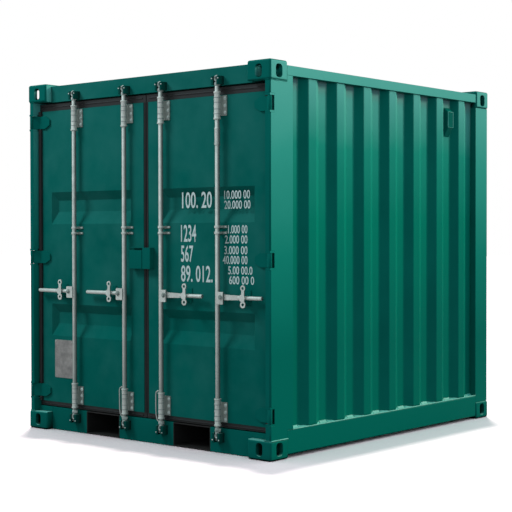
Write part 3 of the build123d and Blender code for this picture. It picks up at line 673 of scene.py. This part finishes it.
# Which solid has which finish: by its slot, or by its name where it differs
slot_materials = {
    "green_paint": paint,
    "galvanised_steel": zinc,
    "black_rubber": rubber,
    "black_paint": pocket,
    "plywood": plywood,
}
door_sheets = [
    f"{side}_door_{part}" for side, sign in door_sides for part in ("stiles", "rails", "panel")
]
node_finishes = [
    (casting_paint, ["bottom_castings", "top_castings"]),
    (keeper_paint, ["keepers"]),
    (guide_zinc, ["left_bar_guides", "right_bar_guides"]),
    (post_paint, ["door_post_left", "door_post_right", "front_posts"]),
    (post_paint, ["top_side_rails", "bottom_side_rails", "front_top_rail"]),
    (lug_paint, ["hinge_lugs"]),
    (door_paint, ["door_header"] + door_sheets),
    (wall_paint, ["side_wall_left", "side_wall_right"]),
]
node_materials = {name: material for material, names in node_finishes for name in names}
sharp_nodes = door_sheets + ["right_lock_box"]
sheet_nodes = ["side_wall_left", "side_wall_right", "front_wall"]


def finish_node(name, material):
    """Give a solid its material, clean flat faces and rounded edges.

    Thin wavy sheets keep their faces, and the sharp nodes keep their edges.
    """
    solid = nodes[name]
    solid.data.materials.clear()
    solid.data.materials.append(material)
    if name in sheet_nodes:
        return
    weld = solid.modifiers.new("weld", "WELD")
    weld.merge_threshold = merge_distance
    flat = solid.modifiers.new("flat_faces", "DECIMATE")
    flat.decimate_type = "DISSOLVE"
    flat.angle_limit = math.radians(flat_angle)
    if name in sharp_nodes:
        return
    bevel = solid.modifiers.new("edges", "BEVEL")
    bevel.width = edge_width
    bevel.segments = edge_segments
    bevel.limit_method = "ANGLE"
    bevel.angle_limit = math.radians(edge_angle)
    bevel.harden_normals = True


for part in frame["record"]["subparts"]:
    name = part["node"]
    finish_node(name, node_materials.get(name, slot_materials[part["material_slot"]]))


def make_piece(name, body, material, shape):
    """A named piece from a bmesh, riding on a body."""
    mesh = bpy.data.meshes.new(name)
    bmesh.ops.recalc_face_normals(shape, faces=shape.faces)
    shape.to_mesh(mesh)
    shape.free()
    mesh.materials.append(material)
    piece = bpy.data.objects.new(name, mesh)
    bpy.context.collection.objects.link(piece)
    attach(piece, body)


def bridge(shape, loops, closed=False):
    """Faces between loops of points, with a cap at both ends unless the last loop joins the first."""
    pairs = list(zip(loops, loops[1:]))
    if closed:
        pairs.append((loops[-1], loops[0]))
    for low, high in pairs:
        count = len(low)
        for number in range(count):
            after = (number + 1) % count
            shape.faces.new((low[number], low[after], high[after], high[number]))
    if not closed:
        shape.faces.new(loops[-1])
        shape.faces.new(list(reversed(loops[0])))


def add_loop(shape, centre, first, second, radius, sides):
    """A ring of points about a centre in the plane of two directions."""
    loop = []
    for number in range(sides):
        angle = 2 * math.pi * number / sides
        spoke = first * math.cos(angle) + second * math.sin(angle)
        loop.append(shape.verts.new(centre + spoke * radius))
    return loop


def add_stack(shape, place, outward, sides, rings):
    """A closed solid of turned rings: each ring is a radius and a height along a direction."""
    place = Vector(place)
    outward = Vector(outward).normalized()
    first = outward.orthogonal().normalized()
    second = outward.cross(first).normalized()
    loops = []
    for radius, rise in rings:
        loops.append(add_loop(shape, place + outward * rise, first, second, radius, sides))
    bridge(shape, loops)


def add_bolt(shape, place, outward, scale):
    """A hexagon head on a washer."""
    washer = [(washer_radius * scale, 0.0), (washer_radius * scale, washer_tall * scale)]
    add_stack(shape, place, outward, washer_sides, washer)
    base = washer_tall * scale
    top = base + head_tall * scale
    head = [
        (bolt_radius * scale, base),
        (bolt_radius * scale, top - chamfer * scale),
        ((bolt_radius - chamfer) * scale, top),
    ]
    add_stack(shape, place, outward, bolt_sides, head)


def add_rivet(shape, place, outward, radius):
    """A low domed rivet head."""
    dome = [(radius * wide, radius * rise) for wide, rise in rivet_dome_shares]
    add_stack(shape, place, outward, rivet_sides, dome)


def wobble(number):
    """An uneven wave from point to point, as a hand-laid weld has."""
    return math.sin(ripple_waves[0] * number) * math.cos(ripple_waves[1] * number)


def add_tube(shape, points, radius, sides=tube_sides, ripple=0.0, closed=False):
    """A tube along points, its radius rippled a little like a weld where asked."""
    points = [Vector(point) for point in points]
    count = len(points)
    loops = []
    first = None
    for number, point in enumerate(points):
        before = points[number - 1] if number or closed else point
        after = points[(number + 1) % count] if number < count - 1 or closed else point
        along = (after - before).normalized()
        if first is None:
            first = along.orthogonal().normalized()
        first = (first - along * first.dot(along)).normalized()
        size = radius * (1 + ripple * wobble(number))
        loops.append(add_loop(shape, point, first, along.cross(first), size, sides))
    bridge(shape, loops, closed)


def straight(start, stop):
    """A straight run: its start, its middle and its end."""
    start, stop = Vector(start), Vector(stop)
    return [start, (start + stop) / 2, stop]


def divided(points, step):
    """Points put in along straight runs, so that a weld can ripple."""
    full = []
    for start, stop in zip(points, points[1:]):
        start, stop = Vector(start), Vector(stop)
        count = max(1, round((stop - start).length / step))
        full += [start.lerp(stop, number / count) for number in range(count)]
    full.append(Vector(points[-1]))
    return full


def rounded_outline(width, height, radius):
    """Points of a rounded rectangle about its middle."""
    outline = []
    corners = ((1, 1, 0), (-1, 1, 90), (-1, -1, 180), (1, -1, 270))
    for across, up, turn in corners:
        middle_x = across * (width / 2 - radius)
        middle_z = up * (height / 2 - radius)
        for step in range(corner_steps + 1):
            angle = math.radians(turn + 90 * step / corner_steps)
            outline.append((middle_x + radius * math.cos(angle), middle_z + radius * math.sin(angle)))
    return outline


def add_door_plate(shape, centre, size, radius, face, thick, edge):
    """A thin plate on a face of the door end, with a chamfered rim."""
    layers = ((0.0, 0.0), (0.0, thick - edge), (edge, thick))
    loops = []
    for inset, rise in layers:
        outline = rounded_outline(size[0] - 2 * inset, size[1] - 2 * inset, radius)
        loops.append([shape.verts.new((centre[0] + x, face - rise, centre[1] + z)) for x, z in outline])
    bridge(shape, loops)


def bush_ring(x, level):
    """Points round the sleeve of a bar guide."""
    ring = []
    for step in range(ring_steps):
        angle = 2 * math.pi * step / ring_steps
        ring.append((x + math.cos(angle) * bush_radius, bar_y + math.sin(angle) * bush_radius, level))
    return ring


# Bolts of the bar guides and the dark joints between the bushes of their sleeves
for side, sign in door_sides:
    door_bars = [x for x in bar_x if x * sign > 0]
    shape = bmesh.new()
    for x in door_bars:
        for level in guide_levels:
            for across in (-bolt_reach, bolt_reach):
                for row in bolt_rows:
                    add_bolt(shape, (x + across, plate_front, level + row), outwards, guide_bolt_scale)
        for level in strap_levels:
            for across in (-bolt_reach, bolt_reach):
                add_rivet(shape, (x + across, plate_front, level), outwards, strap_rivet)
    make_piece(f"{side}_guide_bolts", f"{side}_door", bolt_zinc, shape)

    shape = bmesh.new()
    for x in door_bars:
        for level in guide_levels:
            for rise in bush_joints:
                add_tube(shape, bush_ring(x, level + rise), bush_joint_radius, thin_sides, closed=True)
    make_piece(f"{side}_guide_rings", f"{side}_door", bolt_metal, shape)

# Pivot bolt of each handle
for number, pivot in zip(bar_numbers, pivots):
    shape = bmesh.new()
    hub_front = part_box(f"lock_bar_{number}")[0].y
    add_bolt(shape, (pivot[0], hub_front, pivot[2]), outwards, pivot_bolt_scale)
    make_piece(f"pivot_bolt_{number}", f"bar_{number}", pivot_metal, shape)

# Rivets on the keepers, their pale tone a painted glint
shape = bmesh.new()
for x in bar_x:
    for level in keeper_levels:
        for across in (-stud_reach, stud_reach):
            add_rivet(shape, (x + across, keeper_front, level), outwards, stud_radius)
make_piece("keeper_studs", "container", bolt_zinc, shape)

# Forged claws at both ends of each bar
for number, x in zip(bar_numbers, bar_x):
    shape = bmesh.new()
    for level, up in claw_levels:
        add_stack(shape, (x, bar_y, level), (0, 0, up), claw_ring_sides, claw_rings)
        hook = [(x + across, bar_y - claw_out, level + up * rise) for across, rise in hook_route]
        add_tube(shape, hook, hook_radius, rod_sides)
    make_piece(f"cam_claw_{number}", f"bar_{number}", claw_metal, shape)

# Black plate behind the side hole of the low left casting: a painted shade for the dark seen through the
# hole
shape = bmesh.new()
shade_plate_corners = [
    (door_y + shade_plate_start, shade_plate_foot),
    (door_y + shade_plate_stop, shade_plate_foot),
    (door_y + shade_plate_stop, shade_plate_head),
    (door_y + shade_plate_start, shade_plate_head),
]
shade_plate_loops = []
for inset in (shade_plate_inset, shade_plate_inset + shade_plate_thick):
    shade_plate_loops.append([shape.verts.new((inset - side_x, y, z)) for y, z in shade_plate_corners])
bridge(shape, shade_plate_loops)
make_piece("casting_plug", "container", pocket, shape)

# Bare data plate with its rivets, low on the left door
shape = bmesh.new()
add_door_plate(shape, tag_centre, tag_size, tag_corner, door_face, tag_thick, tag_edge)
make_piece("data_plate", "left_door", tag_metal, shape)
shape = bmesh.new()
for across in (-1, 1):
    for up in (-1, 0, 1):
        x = tag_centre[0] + across * tag_rivet_reach[0]
        z = tag_centre[1] + up * tag_rivet_reach[1]
        add_rivet(shape, (x, door_face - tag_thick, z), outwards, tag_rivet)
make_piece("data_plate_rivets", "left_door", zinc, shape)


def figure_mesh(text):
    """The flat mesh of a line of figures."""
    line = bpy.data.curves.new("figure_line", "FONT")
    line.body = text
    line.offset = figure_weight
    line.resolution_u = figure_steps
    holder = bpy.data.objects.new("figure_line", line)
    bpy.context.collection.objects.link(holder)
    seen = holder.evaluated_get(bpy.context.evaluated_depsgraph_get())
    mesh = bpy.data.meshes.new_from_object(seen)
    bpy.data.objects.remove(holder)
    bpy.data.curves.remove(line)
    return mesh


# Plain figures, stretched to fill their rows
shape = bmesh.new()
for text, left, right, foot, head in figure_rows:
    flat = figure_mesh(text)
    xs = [vertex.co.x for vertex in flat.vertices]
    ys = [vertex.co.y for vertex in flat.vertices]
    stretch_x = (right - left) / (max(xs) - min(xs))
    stretch_z = (head - foot) / (max(ys) - min(ys))
    for vertex in flat.vertices:
        x = left + (vertex.co.x - min(xs)) * stretch_x
        z = foot + (vertex.co.y - min(ys)) * stretch_z
        vertex.co = (x, door_face - figure_film, z)
    shape.from_mesh(flat)
    bpy.data.meshes.remove(flat)
make_piece("door_figures", "right_door", figure_paint, shape)

# Sleeve clamped round the outer right bar, with a collar at each end
shape = bmesh.new()
low_collar = [
    (sleeve_bore, 0.0),
    (sleeve_edge, 0.0),
    (sleeve_collar, collar_slope),
    (sleeve_collar, collar_tall),
    (sleeve_waist, collar_tall + collar_slope),
]
high_collar = [(radius, sleeve_long - rise) for radius, rise in reversed(low_collar)]
add_stack(shape, (bar_x[3], bar_y, sleeve_level), upwards, sleeve_sides, low_collar + high_collar)
make_piece("bar_sleeve", "bar_4", zinc, shape)

# Bent tie rods beside the low guides of the inner bars
for number in tie_bars:
    shape = bmesh.new()
    bar_line = bar_x[number - 1]
    route = [(bar_line + across, bar_y + tie_back, height) for across, height in tie_route]
    add_tube(shape, route, tie_radius, rod_sides)
    make_piece(f"tie_rod_{number}", bar_doors[number - 1], zinc, shape)

# Raised lips along the door seals
for side, sign in door_sides:
    shape = bmesh.new()
    seal_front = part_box(f"{side}_door_gasket")[0].y
    breaks = [leaf_low]
    for level in hinge_levels:
        breaks += [level - hinge_clear, level + hinge_clear]
    breaks.append(leaf_high)
    for low, high in zip(breaks[::2], breaks[1::2]):
        for across in (-outer_lip_apart, outer_lip_apart):
            x = sign * (leaf_outer + outer_lip_out + across)
            add_tube(shape, straight((x, seal_front, low), (x, seal_front, high)), outer_lip_radius)
    flat_front = seal_front + flat_lip_back
    start_x = sign * end_lip_start
    stop_x = sign * (leaf_outer + end_lip_out)
    for level in (leaf_low - low_lip_drop, leaf_high + high_lip_rise):
        run = straight((start_x, flat_front, level), (stop_x, flat_front, level))
        add_tube(shape, run, end_lip_radius)
    x = sign * inner_lip_x
    add_tube(shape, straight((x, flat_front, leaf_low), (x, flat_front, leaf_high)), inner_lip_radius)
    make_piece(f"{side}_seal_lips", f"{side}_door", rubber, shape)


def wall_line(name, level, sign):
    """The outer line of a side wall near a height: points along its length."""
    outer = {}
    for vertex in nodes[name].data.vertices:
        if abs(vertex.co.z - level) < level_slack:
            key = round(vertex.co.y, line_digits)
            outer[key] = max(outer.get(key, 0.0), abs(vertex.co.x))
    return [(sign * outer[key], key, level) for key in sorted(outer)]


def add_strip(shape, points, out, up):
    """A three-sided strip along points that slopes from out to up: thin far out, full in the valleys."""
    reach = [abs(point.x) for point in points]
    loops = []
    for number, point in enumerate(points):
        depth = (max(reach) - reach[number]) / (max(reach) - min(reach))
        full = ledge_strip_thin_share + (1 - ledge_strip_thin_share) * depth
        size = full + ledge_strip_ripple_share * wobble(number)
        back = point - out * ledge_strip_back_share
        loops.append([shape.verts.new(corner) for corner in (back, point + out * size, back + up * size)])
    bridge(shape, loops)


# Weld seams along the side walls, and pale strips along their feet and the edge of the rail: painted
# highlights of the lit ledges and rail edge
for side, sign in door_sides:
    shape = bmesh.new()
    wall = f"side_wall_{side}"
    wall_low, wall_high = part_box(wall)
    for level in (wall_low.z, wall_high.z):
        line = divided(wall_line(wall, level, sign), weld_step)
        add_tube(shape, line, weld_radius, thin_sides, weld_ripple)
    make_piece(f"{side}_wall_welds", "container", wall_paint, shape)

    shape = bmesh.new()
    line = divided(wall_line(wall, wall_low.z, sign), weld_step)
    add_strip(shape, line, Vector((sign * ledge_strip_wide, 0, 0)), Vector((0, 0, ledge_strip_tall)))
    rail_edge = sign * (rail_out - bead_radius)
    run = [(rail_edge, y, wall_low.z) for y in (wall_low.y, wall_high.y)]
    add_tube(shape, divided(run, weld_step), bead_radius, ripple=bead_ripple)
    make_piece(f"{side}_wall_highlights", "container", caulk, shape)

# Weld seams between the door posts and their castings, round the front corner of the post
shape = bmesh.new()
casting_back = post_low.y + casting_weld_long
casting_seam = [
    (post_low.x + casting_weld_inset, post_low.y),
    (post_high.x - post_corner, post_low.y),
    (post_high.x - post_corner_cut, post_low.y + post_corner_cut),
    (post_high.x, post_low.y + post_corner),
    (post_high.x, casting_back),
]
for sign in (-1, 1):
    for level in casting_levels:
        line = [(sign * x, y, level) for x, y in casting_seam]
        add_tube(shape, divided(line, weld_step), weld_radius, thin_sides, weld_ripple)
make_piece("casting_welds", "container", casting_paint, shape)

# Pale beads on the low castings of the door end, along the sides: a painted highlight of their lit top
# edges
shape = bmesh.new()
for sign in (-1, 1):
    bead_x = sign * (post_high.x + bead_radius)
    bead_start = post_low.y + casting_bead_inset
    line = [(bead_x, y, casting_levels[0]) for y in (bead_start, casting_back)]
    add_tube(shape, divided(line, weld_step), bead_radius, ripple=bead_ripple)
make_piece("casting_beads", "container", caulk, shape)

# Pale rim round the front of each vent: a painted highlight of its lit lip
shape = bmesh.new()
for sign in (-1, 1):
    corners = [vertex.co for vertex in nodes["vents"].data.vertices if vertex.co.x * sign > 0]
    rim_x = max(abs(corner.x) for corner in corners) - vent_rim_sink
    face = [corner for corner in corners if abs(corner.x) > rim_x]
    start_y, stop_y = min(corner.y for corner in face), max(corner.y for corner in face)
    foot_z, head_z = min(corner.z for corner in face), max(corner.z for corner in face)
    rim = [(start_y, foot_z), (stop_y, foot_z), (stop_y, head_z), (start_y, head_z)]
    add_tube(shape, [(sign * rim_x, y, z) for y, z in rim], vent_rim_radius, closed=True)
make_piece("vent_rims", "container", caulk, shape)

# Seams and screws of the floor boards
shape = bmesh.new()
board_size = board_high - board_low
for share in seam_shares:
    x = board_low.x + board_size.x * share
    ends = (board_low.y + seam_inset, 0.0, board_high.y - seam_inset)
    add_tube(shape, [(x, y, board_high.z - seam_sink) for y in ends], seam_radius, thin_sides)
make_piece("floor_seams", "container", pocket, shape)
shape = bmesh.new()
for row in range(screw_rows):
    y = board_low.y + board_size.y * (row + 0.5) / screw_rows
    for number in range(screw_lines):
        x = board_low.x + board_size.x * (number + 0.5) / screw_lines
        add_rivet(shape, (x, y, board_high.z), upwards, screw_radius)
make_piece("floor_screws", "container", zinc, shape)


def light_only(holder, floor, wanted):
    """Let a lamp light the floor alone, or everything but the floor."""
    group = bpy.data.collections.new(holder.name + "_lights")
    group.objects.link(floor)
    if not wanted:
        group.collection_objects[0].light_linking.link_state = "EXCLUDE"
    holder.light_linking.receiver_collection = group


def add_lamp(name, kind, strength, colour, aim):
    """A lamp that shines in a direction."""
    lamp = bpy.data.lights.new(name, kind)
    lamp.energy = strength
    lamp.color = colour
    holder = bpy.data.objects.new(name, lamp)
    holder.rotation_mode = "QUATERNION"
    holder.rotation_quaternion = Vector(aim).to_track_quat("-Z", "Y")
    bpy.context.collection.objects.link(holder)
    return lamp, holder


def area_light(name, place, target, size, strength, colour):
    """A soft lamp aimed at a point."""
    lamp, holder = add_lamp(name, "AREA", strength, colour, Vector(target) - Vector(place))
    lamp.shape = "RECTANGLE"
    lamp.size, lamp.size_y = size
    holder.location = place
    return holder


def high_light(name, lean, spread_angle, strength, colour=(1, 1, 1)):
    """A soft distant light from above that leans to one side."""
    lamp, holder = add_lamp(name, "SUN", strength, colour, (-lean[0], -lean[1], -1))
    lamp.angle = math.radians(spread_angle)
    return holder


def seen_mask(tree):
    """One for the rays that look at the background, straight or by a mirror or glass."""
    path = tree.nodes.new("ShaderNodeLightPath").outputs
    seen = calculate(tree, "MAXIMUM", path["Is Camera Ray"], path["Is Glossy Ray"])
    return calculate(tree, "MAXIMUM", seen, path["Is Transmission Ray"])


def make_floor():
    """A plain pale floor that runs into the white background and keeps the shadow."""
    mesh = bpy.data.meshes.new("floor")
    half = floor_half
    corners = [(-half, -half, 0), (half, -half, 0), (half, half, 0), (-half, half, 0)]
    mesh.from_pydata(corners, [], [(0, 1, 2, 3)])
    floor = bpy.data.objects.new("floor", mesh)
    bpy.context.collection.objects.link(floor)
    material = bpy.data.materials.new("floor")
    material.use_nodes = True
    tree = material.node_tree
    tree.nodes.clear()
    output = tree.nodes.new("ShaderNodeOutputMaterial")
    matt = tree.nodes.new("ShaderNodeBsdfDiffuse")
    tree.links.new(mix(tree, seen_mask(tree), grey(floor_albedo), floor_seen), matt.inputs["Color"])
    tree.links.new(matt.outputs[0], output.inputs["Surface"])
    mesh.materials.append(material)
    floor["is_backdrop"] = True
    return floor


def make_world():
    """White to the camera, soft pale light on the object."""
    world = bpy.data.worlds.new("studio")
    bpy.context.scene.world = world
    world.use_nodes = True
    tree = world.node_tree
    tree.nodes.clear()
    output = tree.nodes.new("ShaderNodeOutputWorld")
    both = tree.nodes.new("ShaderNodeMixShader")
    tree.links.new(seen_mask(tree), both.inputs["Fac"])
    for socket, colour, level in ((1, world_colour, world_level), (2, white, 1.0)):
        background = tree.nodes.new("ShaderNodeBackground")
        background.inputs["Color"].default_value = colour
        background.inputs["Strength"].default_value = level
        tree.links.new(background.outputs[0], both.inputs[socket])
    tree.links.new(both.outputs[0], output.inputs["Surface"])


def make_camera():
    """The photograph's camera."""
    lens = bpy.data.cameras.new("camera")
    lens.lens = camera_lens
    lens.sensor_width = camera_sensor
    camera = bpy.data.objects.new("camera", lens)
    bpy.context.collection.objects.link(camera)
    camera.location = camera_place
    azimuth = math.radians(camera_azimuth)
    elevation = math.radians(camera_elevation)
    ahead = Vector((
        -math.sin(azimuth) * math.cos(elevation),
        math.cos(azimuth) * math.cos(elevation),
        math.sin(elevation),
    ))
    camera.rotation_mode = "QUATERNION"
    roll = Quaternion((0, 0, 1), math.radians(camera_roll))
    camera.rotation_quaternion = ahead.to_track_quat("-Z", "Y") @ roll
    bpy.context.scene.camera = camera


# Studio light: the floor has its own lamp, so that a narrow soft shadow shows along the base
floor = make_floor()
make_world()
make_camera()
object_lamps = [
    high_light("key", lean=(1.11, 1.9), spread_angle=12.0, strength=2.7, colour=(1.0, 0.97, 0.74)),
    high_light("top", lean=(0.32, 0.05), spread_angle=25.0, strength=1.1, colour=(1.0, 0.99, 0.96)),
    area_light(
        "door_fill", place=(-3.6, -4.8, 6.4), target=(0, -1.2, 1.2), size=(2.4, 1.8),
        strength=300.0, colour=(0.76, 0.92, 1.0),
    ),
    area_light(
        "side_fill", place=(7.0, -7.0, 3.0), target=(1.0, 0, 1.2), size=(5.0, 4.0),
        strength=110.0, colour=(0.70, 0.88, 1.0),
    ),
]
for holder in object_lamps:
    light_only(holder, floor, False)
floor_lamp = high_light("floor_light", lean=(-0.12, 0.14), spread_angle=3.0, strength=0.80)
light_only(floor_lamp, floor, True)
bpy.context.scene.view_settings.view_transform = "Standard"

low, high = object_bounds()
